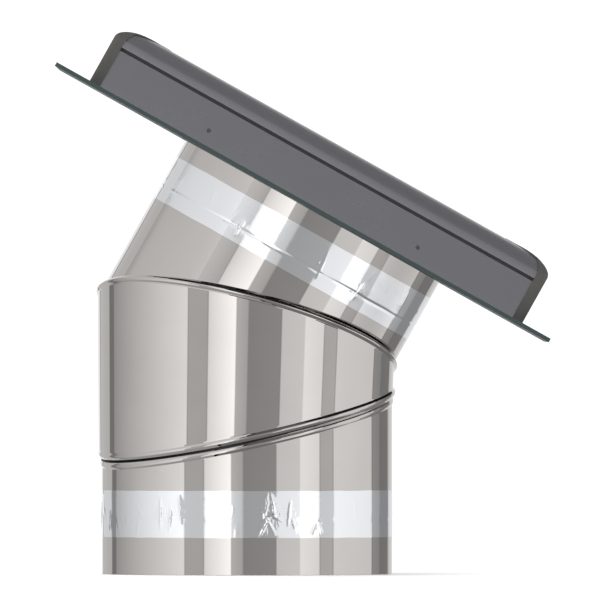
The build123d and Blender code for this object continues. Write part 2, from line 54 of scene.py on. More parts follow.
def addNode(tree, kind, values=None, links=None, **settings):
    node = tree.nodes.new(kind)
    for key, value in settings.items():
        setattr(node, key, value)
    for key, value in (values or {}).items():
        node.inputs[key].default_value = value
    for key, source in (links or {}).items():
        tree.links.new(source, node.inputs[key])
    return node


# Camera: the photo looks along +Y with no visible perspective, so the lens is very long
camera = {
    "lens": 1600.0,  # mm
    "sensor": 36.0,  # mm
    "seenWidth": 0.7332,  # metres across the picture at the tube's axis
    "aimX": 0.0650,
    "aimZ": 0.3345,
    "clipEnd": 200.0,
}
cam = bpy.data.objects.new("studioCamera", bpy.data.cameras.new("studioCamera"))
scene.collection.objects.link(cam)
cam.data.lens = camera["lens"]
cam.data.sensor_width = camera["sensor"]
cam.data.clip_end = camera["clipEnd"]
distance = camera["seenWidth"] * camera["lens"] / camera["sensor"]
cam.location = (camera["aimX"], -distance, camera["aimZ"])
cam.rotation_euler = (pi / 2, 0, 0)
scene.camera = cam
scene.view_settings.view_transform = "Standard"  # white paper stays white
print("camera placed")

# Studio: even white light for what is matt, and a ring of tall cards that only gloss sees.
# Each runs between two azimuths, 0 in front and positive to the right, and fades from its
# first level to its second
studio = {
    "white": 1.15,  # a little over white, so that the paper floor burns out
    "gap": 0.24,  # level of the dark studio between the cards
    "zenith": 0.26,  # level of what is overhead
    "edge": 0.7,  # softness of a card's edges, degrees
    # Sines of the elevations over which each takes over from the upright cards
    "highFrom": (0.24, 0.46),
    "zenithFrom": (0.86, 0.97),
    "lowFrom": (-0.42, -0.60),
    "highCards": {
        "leftBoom": (-184, -14, 0.55, 0.85),
        "topFlag": (-10, 112, 0.13, 0.16),
        "backFlag": (116, 184, 0.16, 0.16),
    },
    "lowCards": {
        "leftGround": (-184, -20, 0.42, 0.42),
        "rightGround": (-16, 184, 0.22, 0.20),
    },
    "cards": {
        "backLeft": (-183, -160, 0.74, 0.70),
        "backLeftGrey": (-158, -135, 0.40, 0.36),
        "leftSoftbox": (-127, -50.5, 0.16, 0.82),
        "leftFlag": (-50, -34.5, 0.31, 0.30),
        "keyCard": (-34, -12.3, 0.76, 1.26),
        "keyFlag": (-12, -3, 0.42, 0.30),
        "lensFlag": (-3, 23, 0.09, 0.13),
        "rightCard": (23.5, 43, 0.56, 0.62),
        "rightBright": (43, 60, 0.90, 0.78),
        "rightFlag": (60.5, 72.5, 0.34, 0.36),
        "rightSoftbox": (73, 118, 0.68, 0.58),
        "farRightFlag": (119, 131, 0.14, 0.08),
        "backRight": (151, 183, 0.40, 0.70),
    },
}
world = bpy.data.worlds.new("studio")
scene.world = world
world.use_nodes = True
tree = world.node_tree
tree.nodes.clear()
toward = addNode(tree, "ShaderNodeTexCoord")
split = addNode(tree, "ShaderNodeSeparateXYZ", links={0: toward.outputs["Generated"]})
backwards = addNode(tree, "ShaderNodeMath", {1: -1.0}, {0: split.outputs["Y"]}, operation="MULTIPLY")
turn = addNode(tree, "ShaderNodeMath", links={0: split.outputs["X"], 1: backwards.outputs[0]},
               operation="ARCTAN2")
degrees = addNode(tree, "ShaderNodeMath", links={0: turn.outputs[0]}, operation="DEGREES")
azimuth = degrees.outputs[0]


def cardRing(cards, gap):  # the level at this azimuth, where one ring of cards is alone
    level, edge = None, studio["edge"]
    for start, end, first, last in cards.values():
        rise, fall = [addNode(tree, "ShaderNodeMapRange",
                              {"From Min": side - edge, "From Max": side + edge,
                               "To Min": before, "To Max": 1.0 - before},
                              {"Value": azimuth}, interpolation_type="SMOOTHSTEP")
                      for side, before in ((start, 0.0), (end, 1.0))]
        fade = addNode(tree, "ShaderNodeMapRange",
                       {"From Min": start, "From Max": end, "To Min": first, "To Max": last},
                       {"Value": azimuth})
        inside = addNode(tree, "ShaderNodeMath", links={0: rise.outputs[0], 1: fall.outputs[0]},
                         operation="MULTIPLY")
        card = addNode(tree, "ShaderNodeMath", {2: gap}, {0: inside.outputs[0], 1: fade.outputs[0]},
                       operation="MULTIPLY_ADD")
        if level:
            tree.links.new(level, card.inputs[2])
        level = card.outputs[0]
    return level


# Upright cards to look into, then what hangs above, what is overhead and what lies below
level = cardRing(studio["cards"], studio["gap"])
zenith = addNode(tree, "ShaderNodeValue")
zenith.outputs[0].default_value = studio["zenith"]
for (lower, upper), ring in ((studio["highFrom"], cardRing(studio["highCards"], 0.0)),
                             (studio["zenithFrom"], zenith.outputs[0]),
                             (studio["lowFrom"], cardRing(studio["lowCards"], 0.0))):
    share = addNode(tree, "ShaderNodeMapRange", {"From Min": lower, "From Max": upper},
                    {"Value": split.outputs["Z"]}, interpolation_type="SMOOTHSTEP")
    mixed = addNode(tree, "ShaderNodeMix", links={"Factor": share.outputs[0], "A": level, "B": ring})
    level = mixed.outputs[0]
ray = addNode(tree, "ShaderNodeLightPath")
seen = addNode(tree, "ShaderNodeMix", {"A": studio["white"]},
               {"Factor": ray.outputs["Is Glossy Ray"], "B": level})
sky = addNode(tree, "ShaderNodeBackground", {"Color": fromHex("#ffffff")},
              {"Strength": seen.outputs[0]})
addNode(tree, "ShaderNodeOutputWorld", links={"Surface": sky.outputs[0]})

# Soft lamps for the matt pieces only, so the metal shows nothing but the cards
lampTarget = Vector((0.06, 0, 0.35))
lights = {
    "key": {"at": (-2.2, -3.0, 3.4), "size": 2.0, "power": 60.0},
    "rim": {"at": (1.2, 2.6, 3.0), "size": 1.6, "power": 40.0},
}
for lightName, values in lights.items():
    lamp = bpy.data.objects.new(lightName, bpy.data.lights.new(lightName, "AREA"))
    scene.collection.objects.link(lamp)
    lamp.data.shape = "DISK"
    lamp.data.size = values["size"]
    lamp.data.energy = values["power"]
    lamp.location = values["at"]
    aim = lampTarget - Vector(values["at"])
    lamp.rotation_euler = aim.to_track_quat("-Z", "Y").to_euler()
    lamp.visible_glossy = False
print("studio lit")


def newMaterial(name, base, metallic, roughness, **sockets):
    material = bpy.data.materials.new(name)
    material.use_nodes = True
    shader = material.node_tree.nodes["Principled BSDF"]
    shader.inputs["Base Color"].default_value = fromHex(base)
    shader.inputs["Metallic"].default_value = metallic
    shader.inputs["Roughness"].default_value = roughness
    for socket, value in sockets.items():
        shader.inputs[socket.replace("_", " ")].default_value = value
    return material, material.node_tree, shader


# Colour that drifts between two tones, and gloss between two values, as a pattern says
def drift(tree, shader, pattern, tones):
    shade = addNode(tree, "ShaderNodeMix", {6: fromHex(tones[0]), 7: fromHex(tones[1])},
                    {0: pattern}, data_type="RGBA")
    tree.links.new(shade.outputs[2], shader.inputs["Base Color"])


def driftGloss(tree, shader, pattern, roughness, span=(0.3, 0.7)):
    gloss = addNode(tree, "ShaderNodeMapRange",
                    {"From Min": span[0], "From Max": span[1],
                     "To Min": roughness[0], "To Max": roughness[1]}, {"Value": pattern})
    tree.links.new(gloss.outputs[0], shader.inputs["Roughness"])


# Backdrop paper: matt, near white and glowing a little, so that shadows stay faint
floor = {
    "tones": ("#f9f9f8", "#f5f5f4"),
    "clouds": 3.0,  # to the metre
    "glow": 0.2,
    "reach": 150.0,  # metres to each side
    "below": 0.0004,
}
paper, tree, shader = newMaterial("backdropPaper", floor["tones"][0], 0.0, 0.9,
                                  Emission_Color=fromHex("#ffffff"), Emission_Strength=floor["glow"])
place = addNode(tree, "ShaderNodeTexCoord")
clouds = addNode(tree, "ShaderNodeTexNoise", {"Scale": floor["clouds"], "Detail": 3.0},
                 {"Vector": place.outputs["Object"]})
drift(tree, shader, clouds.outputs[0], floor["tones"])

floorMesh = bpy.data.meshes.new("paperFloor")
floorPoints = [(x * floor["reach"], y * floor["reach"], -floor["below"])
               for x, y in ((-1, -1), (1, -1), (1, 1), (-1, 1))]
floorMesh.from_pydata(floorPoints, [], [(0, 1, 2, 3)])
floorMesh.materials.append(paper)
paperFloor = bpy.data.objects.new("paperFloor", floorMesh)
scene.collection.objects.link(paperFloor)
paperFloor.visible_glossy = False
print("floor laid")

# Mirror sheet: rolled aluminium with a silvered film. Long soft lines and a slight wave
# keep its reflections clear but never optical
mirrorSheet = {
    "tones": ("#d7d3d0", "#cfcbc8"),  # clean and handled
    "handling": 22.0,  # handled patches to the metre
    "haze": (0.024, 0.04),  # roughness
    "line": 1.6,  # mm between the rolling lines
    "lineLength": 160.0,
    "lineDepth": 0.0012,
    "wave": 70.0,
    "waveDepth": 0.010,
}
mirror, tree, shader = newMaterial("silveredAluminiumSheet", mirrorSheet["tones"][0], 1.0,
                                   mirrorSheet["haze"][0])
uv = addNode(tree, "ShaderNodeUVMap", uv_map="sheet")
stretched = addNode(tree, "ShaderNodeMapping",
                    {"Scale": (1000 / mirrorSheet["line"], 1000 / mirrorSheet["lineLength"], 1.0)},
                    {"Vector": uv.outputs[0]})
lines = addNode(tree, "ShaderNodeTexNoise", {"Scale": 1.0, "Detail": 4.0, "Roughness": 0.6},
                {"Vector": stretched.outputs[0]})
place = addNode(tree, "ShaderNodeTexCoord")
waves = addNode(tree, "ShaderNodeTexNoise", {"Scale": 1000 / mirrorSheet["wave"], "Detail": 1.0},
                {"Vector": place.outputs["Object"]})
waveBump = addNode(tree, "ShaderNodeBump", {"Distance": mirrorSheet["waveDepth"] * mm},
                   {"Height": waves.outputs[0]})
lineBump = addNode(tree, "ShaderNodeBump", {"Distance": mirrorSheet["lineDepth"] * mm},
                   {"Height": lines.outputs[0], "Normal": waveBump.outputs[0]})
tree.links.new(lineBump.outputs[0], shader.inputs["Normal"])
driftGloss(tree, shader, lines.outputs[0], mirrorSheet["haze"])
handling = addNode(tree, "ShaderNodeTexNoise", {"Scale": mirrorSheet["handling"], "Detail": 5.0},
                   {"Vector": place.outputs["Object"]})
drift(tree, shader, handling.outputs[0], mirrorSheet["tones"])

# Foil tape: lacquered aluminium foil, brighter and bluer than the sheet. It mirrors the
# studio where it lies flat, and breaks into facets where it was creased
foilFinish = {
    "tint": "#fbfcff",
    "rubbed": (0.05, 0.09),  # roughness
    "facet": 4.6,  # mm across
    "facetLean": 0.6,  # width to height
    "facetDepth": 0.36,
    "press": 3.0,
    "pressDepth": 0.001,
}
foil, tree, shader = newMaterial("aluminiumFoilTape", foilFinish["tint"], 1.0,
                                 foilFinish["rubbed"][0])
place = addNode(tree, "ShaderNodeTexCoord")
uv = addNode(tree, "ShaderNodeUVMap", uv_map="sheet")
facetsInMetre = 1000 / foilFinish["facet"]
pulled = addNode(tree, "ShaderNodeMapping",
                 {"Scale": (facetsInMetre, foilFinish["facetLean"] * facetsInMetre, 1.0)},
                 {"Vector": uv.outputs[0]})
facets = addNode(tree, "ShaderNodeTexVoronoi", {"Scale": 1.0, "Detail": 1.0},
                 {"Vector": pulled.outputs[0]})
creased = addNode(tree, "ShaderNodeAttribute", attribute_name="creased")
facetHeight = addNode(tree, "ShaderNodeMath",
                      links={0: facets.outputs["Distance"], 1: creased.outputs["Fac"]},
                      operation="MULTIPLY")
press = addNode(tree, "ShaderNodeTexNoise", {"Scale": 1000 / foilFinish["press"], "Detail": 2.0},
                {"Vector": place.outputs["Object"]})
pressBump = addNode(tree, "ShaderNodeBump", {"Distance": foilFinish["pressDepth"] * mm},
                    {"Height": press.outputs[0]})
facetBump = addNode(tree, "ShaderNodeBump", {"Distance": foilFinish["facetDepth"] * mm},
                    {"Height": facetHeight.outputs[0], "Normal": pressBump.outputs[0]})
tree.links.new(facetBump.outputs[0], shader.inputs["Normal"])
driftGloss(tree, shader, press.outputs[0], foilFinish["rubbed"])


# Coated, moulded and rubber finishes: colour and gloss drift together over patches, under
# a fine relief
def coatedMaterial(name, finish):
    material, tree, shader = newMaterial(name, finish["tones"][0], finish.get("metallic", 0.0),
                                         finish["gloss"][0], **finish.get("sockets", {}))
    place = addNode(tree, "ShaderNodeTexCoord")
    patches = addNode(tree, "ShaderNodeTexNoise", {"Scale": 1000 / finish["patch"], "Detail": 4.0},
                      {"Vector": place.outputs["Object"]})
    drift(tree, shader, patches.outputs[0], finish["tones"])
    driftGloss(tree, shader, patches.outputs[0], finish["gloss"])
    size, depth = finish["grain"]
    grain = addNode(tree, "ShaderNodeTexNoise", {"Scale": 1000 / size, "Detail": 2.0},
                    {"Vector": place.outputs["Object"]})
    bump = addNode(tree, "ShaderNodeBump", {"Distance": depth * mm}, {"Height": grain.outputs[0]})
    tree.links.new(bump.outputs[0], shader.inputs["Normal"])
    return material


# Patches are given by their size in millimetres, the grain by its size and depth
finishes = {
    # Aluminium covers with grey metallic powder coat: satin, with its faint orange peel
    "powderCoatedAluminium": {
        "tones": ("#8b8b90", "#87878c"), "metallic": 0.75, "gloss": (0.24, 0.28),
        "patch": 60.0, "grain": (3.0, 0.0004)},
    # Corner caps moulded in weatherproof ASA: warmer and duller, with a spark-eroded grain
    "mouldedAsa": {
        "tones": ("#4a4946", "#444340"), "gloss": (0.45, 0.55),
        "patch": 18.0, "grain": (0.7, 0.02)},
    # Roof flange moulded in polypropylene: greenish grey, and dull where it is seen aslant
    "mouldedPolypropylene": {
        "tones": ("#3a4444", "#354040"), "gloss": (0.42, 0.52),
        "patch": 40.0, "grain": (1.0, 0.015), "sockets": {"Specular_IOR_Level": 0.15}},
    # Rails of extruded grey PVC: even and satin, and dark as painted shade for the shadow groove that
    # shows them
    "extrudedPvc": {
        "tones": ("#3e3f42", "#393a3c"), "gloss": (0.38, 0.48),
        "patch": 12.0, "grain": (1.5, 0.01)},
    # Painted shade in the lower swivel's groove, on its neck: nearly black, with a dull gloss
    "paintedGrooveShade": {
        "tones": ("#232524", "#343635"), "metallic": 0.6, "gloss": (0.35, 0.55),
        "patch": 4.0, "grain": (0.8, 0.01)},
    # Corner cleats cast in zinc: brighter and grainier than the rails
    "castZinc": {
        "tones": ("#8f9296", "#83868a"), "metallic": 1.0, "gloss": (0.45, 0.6),
        "patch": 9.0, "grain": (0.9, 0.03)},
    # Rolled stainless spacer of the glass unit: a soft grey shine
    "rolledStainless": {
        "tones": ("#a6a6a4", "#989896"), "metallic": 1.0, "gloss": (0.28, 0.36),
        "patch": 20.0, "grain": (0.8, 0.006)},
    # Butyl sealant round the glass unit: black, a little tacky
    "blackButyl": {
        "tones": ("#17181a", "#1e1f21"), "gloss": (0.4, 0.55),
        "patch": 10.0, "grain": (3.0, 0.08)},
    # Extruded EPDM gaskets: black rubber with a dusty bloom
    "extrudedEpdm": {
        "tones": ("#1d1e20", "#2a2b2c"), "gloss": (0.6, 0.75),
        "patch": 15.0, "grain": (1.0, 0.02)},
    # Closed-cell foam seals: matt, with cut cells
    "closedCellFoam": {
        "tones": ("#34373a", "#2b2e31"), "gloss": (0.8, 0.95),
        "patch": 6.0, "grain": (0.8, 0.12)},
    # White enamelled tray round the tube: bright and even
    "whiteEnamelledSheet": {
        "tones": ("#eeeeea", "#e6e6e1"), "gloss": (0.2, 0.28),
        "patch": 50.0, "grain": (2.5, 0.005)},
    # Zinc-plated screws: bright, with cloudy patches
    "platedScrewSteel": {
        "tones": ("#b9bbbd", "#a7a9ac"), "metallic": 1.0, "gloss": (0.24, 0.36),
        "patch": 1.5, "grain": (0.4, 0.006)},
    # Screws of the covers, head coated with the covers
    "coatedScrewSteel": {
        "tones": ("#55565a", "#4a4b4f"), "gloss": (0.35, 0.45),
        "patch": 1.5, "grain": (0.4, 0.006)},
}
coats = {name: coatedMaterial(name, finish) for name, finish in finishes.items()}

# Float glass: clear with a breath of green, and very lightly dusted
glassFinish = {
    "tones": ("#f4faf7", "#eaf4ef"),
    "ior": 1.52,
    "dust": 14.0,  # patches to the metre
    "film": (0.0, 0.035),  # roughness
}
coats["floatGlass"], tree, shader = newMaterial(
    "floatGlass", glassFinish["tones"][0], 0.0, 0.0, IOR=glassFinish["ior"], Transmission_Weight=1.0)
place = addNode(tree, "ShaderNodeTexCoord")
dust = addNode(tree, "ShaderNodeTexNoise", {"Scale": glassFinish["dust"], "Detail": 6.0},
               {"Vector": place.outputs["Object"]})
drift(tree, shader, dust.outputs[0], glassFinish["tones"])
driftGloss(tree, shader, dust.outputs[0], glassFinish["film"], span=(0.45, 0.75))
print("materials mixed")

# Axes of the tube: the head leans over by the roof's pitch
roofPitch = radians(29.25)
up = Vector((sin(roofPitch), 0, cos(roofPitch)))
downhill = Vector((cos(roofPitch), 0, -sin(roofPitch)))
across = Vector((0, 1, 0))
vertical = Vector((0, 0, 1))
swivels = {joint["name"]: (Vector(joint["pos_m"]) / mm, Vector(joint["axis"]).normalized())
           for joint in frame["joints"]}
lowCentre, lowAxis = swivels["lower_swivel"]
topCentre, topAxis = swivels["upper_swivel"]


def curveOver(first, corner, last, steps):
    shares = [step / steps for step in range(steps + 1)]
    return [first * (1 - share) ** 2 + corner * 2 * share * (1 - share) + last * share ** 2
            for share in shares]


# The curve that rounds a corner. It takes up less than half of either side
def roundedCorner(last, corner, following, bend, steps, most=0.45):
    before, after = last - corner, following - corner
    trim = bend * tan((pi - before.angle(after)) / 2)
    trim = min(trim, most * before.length, most * after.length)
    return curveOver(corner + before.normalized() * trim, corner,
                     corner + after.normalized() * trim, steps)


# Rounds the corners of a path and puts a support beside each, so long flats stay flat
def softened(points, radii, steps=4, support=1.0):
    path = [points[0]]
    for index in range(1, len(points)):
        curve = [points[index]]
        if index < len(points) - 1 and radii[index - 1]:
            curve = roundedCorner(*points[index - 1:index + 2], radii[index - 1], steps)
        run = curve[0] - path[-1]
        near = run.normalized() * min(support, 0.3 * run.length)
        path += [path[-1] + near, curve[0] - near] + curve
    return path


# A mesh from columns of points, in millimetres, with a UV map in metres along the sheet
def skinMesh(name, columns, arcs, closed=True):
    count, rows = len(columns), len(columns[0])
    points = [column[row] * mm for row in range(rows) for column in columns]
    lengths = []
    for column in columns:
        total = [0.0]
        for low, high in zip(column, column[1:]):
            total.append(total[-1] + (high - low).length)
        lengths.append(total)
    faces, places = [], []
    for row in range(rows - 1):
        for step in range(count if closed else count - 1):
            following = (step + 1) % count
            faces.append((row * count + step, row * count + following,
                          (row + 1) * count + following, (row + 1) * count + step))
            left, right = arcs[step] * mm, arcs[step + 1] * mm
            places += [left, lengths[step][row] * mm, right, lengths[following][row] * mm,
                       right, lengths[following][row + 1] * mm, left, lengths[step][row + 1] * mm]
    mesh = bpy.data.meshes.new(name)
    mesh.from_pydata(points, [], faces)
    mesh.uv_layers.new(name="sheet").data.foreach_set("uv", places)
    return mesh


# Turns modifiers into mesh, then hands the piece to the frame
def finishPiece(shape, material, body, node, sharp):
    scene.collection.objects.link(shape)
    if shape.modifiers:
        evaluated = shape.evaluated_get(bpy.context.evaluated_depsgraph_get())
        made = bpy.data.meshes.new_from_object(evaluated)
        shape.modifiers.clear()
        shape.data = made
    shape.data.materials.clear()
    shape.data.materials.append(material)
    shape.data.polygons.foreach_set("use_smooth", [True] * len(shape.data.polygons))
    shape.data.set_sharp_from_angle(angle=radians(sharp))
    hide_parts(node)
    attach(shape, body)


def solidSheet(name, mesh, thickness, offset=0.0):
    shape = bpy.data.objects.new(name, mesh)
    wall = shape.modifiers.new("wall", "SOLIDIFY")
    wall.thickness = thickness * mm
    wall.offset = offset
    wall.use_even_offset = True
    return shape


# Light tube: sheet sizes in millimetres, and the heights at which the pieces meet
tube = {
    "radius": 177.8,
    "sheet": 0.5,
    "outlet": 65.1,  # height at which the lower tube draws in
    "crimp": 4.0,  # run of the draw
    "spigot": 30.0,
    "slip": 0.15,
    "crimps": 60,  # pleats of a drawn-in end
    "pleat": 0.7,
    "collarClear": 12.0,
    "collarWidth": 15.0,
    "tapeWidth": 57.0,
    "tapeBelowJoint": 19.8,
    "tapeToFlange": 23.0,
    "flange": 5.0,
    "tray": 1.0,
    "segments": 360,
    "lapWidth": 12.0,  # overlap of the rolled sheet's two edges, at the back
    "lapFade": 70.0,  # the sheet eases back to the round over this
    "lapStep": 0.0004,  # radians to each side of the sheet's edge
    "lapEnds": (6.0, 1.0),  # under the flange, where it starts to go and where it is gone
    "lowerLap": radians(95),
    "topLap": radians(80),
}
# Swivels: heights run along the axis, away from the swivel's plane
swivel = {
    "gap": 0.35,
    "half": 4.0,
    "foot": 5.5,
    "step": 4.0,
    "arc": 8,  # steps of the rolled crown, rounder than the solid's
    "upperCrown": 2.8,
    "lowerCrown": 1.6,
    "neckEnd": 4.6,
    "upperFoot": 6.8,  # where the upper gore's own wall starts
    "upperBlend": 10.5,  # the solid's, which sets the height of the head
    "flangeHeights": (-2.4, -1.2, 0.0, 1.2, 2.2),
    "ribFoot": 6.9,
    "ribWidth": 8.0,
    "ribRise": 1.5,
    "ribSteps": 6,
    "shadedGroove": (-1.0, 0.3),  # the painted shade runs from here at the lip to here at the rib's foot
    "shadeNarrowing": 2.8,  # the painted shade is this much narrower on the downhill side
}
# Radii of the bends in the sheet
bends = {"lip": 0.4, "crown": 2.0, "wall": 1.0, "foot": 0.6, "rib": 3.0, "draw": 1.2, "collar": 1.5}
radius = tube["radius"]
skin = radius - tube["sheet"] / 2  # the middle of the sheet
spigotSkin = radius - tube["sheet"] - tube["slip"] - tube["sheet"] / 2
joint = tube["outlet"] + tube["crimp"]
topCos = topAxis.dot(up)
lowCos = lowAxis.dot(vertical)
throat = radius * sqrt(1 - topCos ** 2)  # how far the upper cut runs up the tube
headHeight = ((swivel["upperBlend"] + throat) / topCos + tube["collarClear"]
              + tube["tapeWidth"] + tube["tapeToFlange"])
topTapeFoot = headHeight - tube["tapeToFlange"] - tube["tapeWidth"]
topJoint = topTapeFoot + tube["tapeBelowJoint"]
collarHeight = headHeight + tube["flange"] + tube["tray"]
topNeck = radius * (1 + 1 / topCos) / 2
lowNeck = radius * (1 + 1 / lowCos) / 2


def lapRise(angle, lapAt):  # a full sheet over the lap, then down to nothing
    past = (angle - lapAt) % (2 * pi) * radius
    if past < tube["lapWidth"]:
        return tube["sheet"]
    fading = max(0.0, 1 - (past - tube["lapWidth"]) / tube["lapFade"])
    return tube["sheet"] * fading ** 2 * (3 - 2 * fading)


# Two more columns make the step of a sheet's lap
def rollSheet(name, columnAt, radii, body, node, lapAt=None):
    angles = [2 * pi * step / tube["segments"] for step in range(tube["segments"])]
    if lapAt:
        angles = sorted(angles + [lapAt - tube["lapStep"], lapAt + tube["lapStep"]])
    columns = [softened(columnAt(angle), radii) for angle in angles]
    arcs = [angle * radius for angle in angles] + [2 * pi * radius]
    shape = solidSheet(name, skinMesh(name, columns, arcs), tube["sheet"])
    finishPiece(shape, mirror, body, node, sharp=50.0)
    return shape.data


def ringPoint(centre, axis, aside, angle, reachOut, height):
    return centre + axis * height + (aside * cos(angle) + axis.cross(aside) * sin(angle)) * reachOut


def pleated(angle):  # drawn-in ends are pleated inwards
    return spigotSkin - tube["pleat"] * abs(sin(tube["crimps"] * angle / 2)) ** 1.5


def lowerTubeColumn(angle):
    lapped = skin + lapRise(angle, tube["lowerLap"])
    places = [(lapped, 0.0), (lapped, tube["outlet"]), (spigotSkin, joint),
              (pleated(angle), tube["outlet"] + tube["spigot"])]
    return [Vector((cos(angle) * out, sin(angle) * out, height)) for out, height in places]


rollSheet("lowerTube", lowerTubeColumn, [bends["draw"]] * 2, "lower", "lower_tube",
          lapAt=tube["lowerLap"])


# A gore with a swivel's spigot at one end and a straight collar at the other: rings lie in
# the swivel's plane, ovals along the oblique cut and the collar across the tube
def collarColumn(centre, axis, tubeAxis, rings, ovals, collar):
    cutCos = axis.dot(tubeAxis)
    neck = radius * (1 + 1 / cutCos) / 2 - tube["sheet"] / 2
    aside = axis.cross(tubeAxis).normalized()

    def columnAt(angle):
        around = aside * cos(angle) + tubeAxis.cross(aside) * sin(angle)
        onCut = around - tubeAxis * (around.dot(axis) / cutCos)
        column = [ringPoint(centre, axis, aside, angle, neck + out, height) for out, height in rings]
        column += [centre + tubeAxis * (height / cutCos) + onCut * (skin + out)
                   for out, height in ovals]
        column += [centre + around * out + tubeAxis * height for out, height in collar]
        return column

    return columnAt


# Crown of a bead at a height over the swivel's plane, out from the wall that carries it
crownLip = swivel["half"] - tube["sheet"] / 2


def crownRise(crown, height):
    return crown * sin(pi * (height + swivel["half"]) / (swivel["half"] + crownLip))


def spigotBead(crown):  # from the flange's edge in to the neck; distances out from the neck
    nest = tube["sheet"] + swivel["gap"]
    wall = swivel["step"] - tube["sheet"] / 2 - nest
    heights = (*swivel["flangeHeights"], crownLip - nest)
    crownPlaces = [(wall + crownRise(crown, height), height) for height in heights]
    return crownPlaces + [(0.0, crownLip - nest)]


ribSteps = swivel["ribSteps"]
rib = [(swivel["ribRise"] * sin(pi * step / ribSteps),
        swivel["ribFoot"] + swivel["ribWidth"] * step / ribSteps) for step in range(ribSteps + 1)]
neckEnd = [(0.0, swivel["neckEnd"])]
lowerCollar = [(skin, lowCentre.z - joint)]
upperCollar = [(skin, topJoint - tube["crimp"]), (spigotSkin, topJoint),
               (spigotSkin, topJoint + tube["spigot"])]
spigotRadii = [bends["crown"]] * len(swivel["flangeHeights"])
spigotRadii += [bends["lip"], bends["foot"], bends["wall"]]

lowerColumn = collarColumn(lowCentre, -lowAxis, -vertical, spigotBead(swivel["lowerCrown"]) + neckEnd,
                           rib, lowerCollar)
ribRadii = [bends["rib"]] * (ribSteps - 1) + [bends["draw"]]
lowerGore = rollSheet("lowerGore", lowerColumn, spigotRadii + ribRadii, "lower", "elbow_lower_gore")
lowerGore.materials.append(coats["paintedGrooveShade"])
# Faces in the groove between the lip and the rib take the nearly black painted shade
start, end = crownLip + swivel["shadedGroove"][0], swivel["ribFoot"] + swivel["shadedGroove"][1]
for face in lowerGore.polygons:
    away = face.center / mm - lowCentre
    if start < away.dot(-lowAxis) < end - swivel["shadeNarrowing"] * max(0.0, away.x / radius):
        face.material_index = 1
upperColumn = collarColumn(topCentre, topAxis, up, spigotBead(swivel["upperCrown"]) + neckEnd,
                           [(0.0, swivel["upperFoot"])], upperCollar)
rollSheet("upperGore", upperColumn, spigotRadii + [bends["rib"], bends["draw"]], "head",
          "elbow_upper_gore")

# Middle gore: from the bead round the lower swivel to the bead round the upper one
between = topAxis.cross(lowAxis).normalized()


def socketBead(neck, crown):  # from the wall over the crown to the lip
    wall = neck + swivel["step"] - tube["sheet"] / 2
    heights = [-swivel["half"] + (swivel["half"] + crownLip) * step / swivel["arc"]
               for step in range(swivel["arc"] + 1)]
    crownPlaces = [(wall + crownRise(crown, height), height) for height in heights]
    return [(wall, -swivel["foot"])] + crownPlaces + [(neck + swivel["gap"], crownLip)]


def middleColumn(angle):
    low = [ringPoint(lowCentre, lowAxis, between, angle, out, -height)
           for out, height in socketBead(lowNeck, swivel["lowerCrown"])]
    top = [ringPoint(topCentre, topAxis, between, angle, out, height)
           for out, height in socketBead(topNeck, swivel["upperCrown"])]
    return low[::-1] + top


beadRadii = [bends["lip"]] + [bends["crown"]] * (swivel["arc"] - 1) + [bends["wall"]]
rollSheet("middleGore", middleColumn, beadRadii + [bends["foot"]] * 2 + beadRadii[::-1], "middle",
          "elbow_middle_gore")


def topTubeColumn(angle):
    around = downhill * cos(angle) + across * sin(angle)
    collarTop = collarHeight + tube["sheet"] / 2
    lapped = skin + lapRise(angle, tube["topLap"])
    going, gone = [headHeight - below for below in tube["lapEnds"]]
    places = [(lapped, topJoint), (lapped, going), (skin, gone), (skin, collarTop),
              (radius + tube["collarWidth"], collarTop)]
    return [topCentre + around * out + up * height for out, height in places]


rollSheet("topTube", topTubeColumn, [0.0, 0.0, bends["collar"]], "head", "top_tube",
          lapAt=tube["topLap"])
print("tube rolled")

# Foil tape, laid over the joints by hand: a wavy crease where it sinks into the joint,
# folds where it was pulled tight, and an overlap of its two ends at the back
foilTape = {
    "gap": 0.1,
    "thickness": 0.3,
    "grid": 1.2,
    "crease": 0.38,  # depth of the sunk joint
    "creaseWidth": 1.3,
    # How far crease, edges and face stray, and how often they do so round the tube
    "wander": (1.1, 4),
    "fray": (0.5, 9),
    "swell": (0.03, 15),
    "swellHeight": 12,
    "tallest": 1.1,  # of any fold
    "overlap": 45.0,
    "seed": 7,
    "reach": 9.0,  # how far facets spread from a pulled fold
    "reachLean": 1.4,  # height to width
}
# Folds as azimuth in degrees, height above the tape's foot, lean from level in degrees,
# length, half width and rise in millimetres
lowerFolds = [
    (7.0, 12.0, 62, 34, 1.1, 0.8), (8.5, 20.0, 118, 38, 1.2, 0.85), (7.6, 33.0, 75, 30, 1.2, 0.6),
    (10.5, 38.0, 100, 30, 1.5, 0.8), (9.5, 26.0, 20, 20, 1.1, 0.55), (12.0, 24.0, 150, 24, 1.2, 0.6),
    (8.0, 47.0, 88, 18, 1.4, 0.6), (17.0, 30.0, 84, 40, 1.3, 0.5), (19.0, 15.0, 104, 22, 1.2, 0.5),
    (-36.0, 30.0, 90, 44, 1.5, 0.55), (-31.5, 22.0, 86, 36, 1.3, 0.5),
    (-27.0, 34.0, 94, 38, 1.4, 0.55), (-84.0, 26.0, 70, 40, 1.6, 0.7),
    (-77.0, 36.0, 110, 36, 1.5, 0.7), (-70.0, 20.0, 82, 28, 1.4, 0.6), (27.0, 10.0, 64, 20, 1.2, 0.5),
    (30.0, 13.0, 112, 22, 1.3, 0.5), (48.0, 36.0, 96, 30, 1.5, 0.4),
]
upperFolds = [
    (-62.0, 24.0, 80, 34, 1.4, 0.5), (-40.0, 36.0, 104, 26, 1.3, 0.45),
    (-22.0, 18.0, 86, 24, 1.3, 0.4), (14.0, 28.0, 96, 40, 1.4, 0.5),
    (33.0, 22.0, 78, 30, 1.3, 0.45), (58.0, 34.0, 92, 34, 1.5, 0.5),
]
